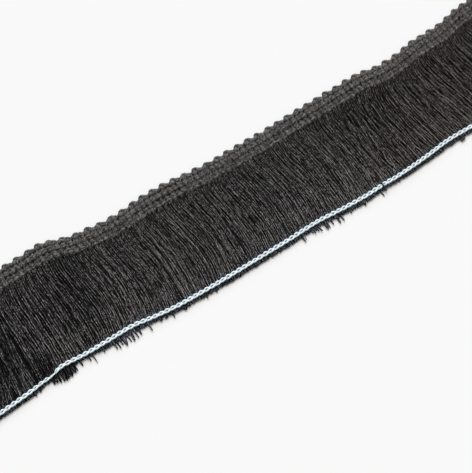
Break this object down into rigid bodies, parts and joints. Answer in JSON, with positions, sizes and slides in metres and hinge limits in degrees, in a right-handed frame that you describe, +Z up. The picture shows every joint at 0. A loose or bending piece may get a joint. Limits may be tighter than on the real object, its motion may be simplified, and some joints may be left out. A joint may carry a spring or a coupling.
{
  "type": "tassel fringe trim",
  "caption": "Cut length of knitted brush fringe trim with a picot-edged heading, loose twisted threads and a pale holding chain near the cut ends, lying flat.",
  "frame": {"origin": "on the surface that the trim lies on, under the middle of its bounding box", "axes": "+X along the trim, +Y across it from the cut ends towards the picot edge, +Z up out of the surface that it lies on"},
  "size_m": [0.2809, 0.0568, 0.0019],
  "materials": {
    "heading_yarn": "matt charcoal black knitted yarn",
    "fringe_thread": "black twisted thread with a soft glint",
    "chain_yarn": "pale blue-white soft yarn"
  },
  "bodies": {
    "root": {"heading": "heading_yarn", "fringe": "fringe_thread", "holding_chain": "chain_yarn"}
  },
  "joints": []
}
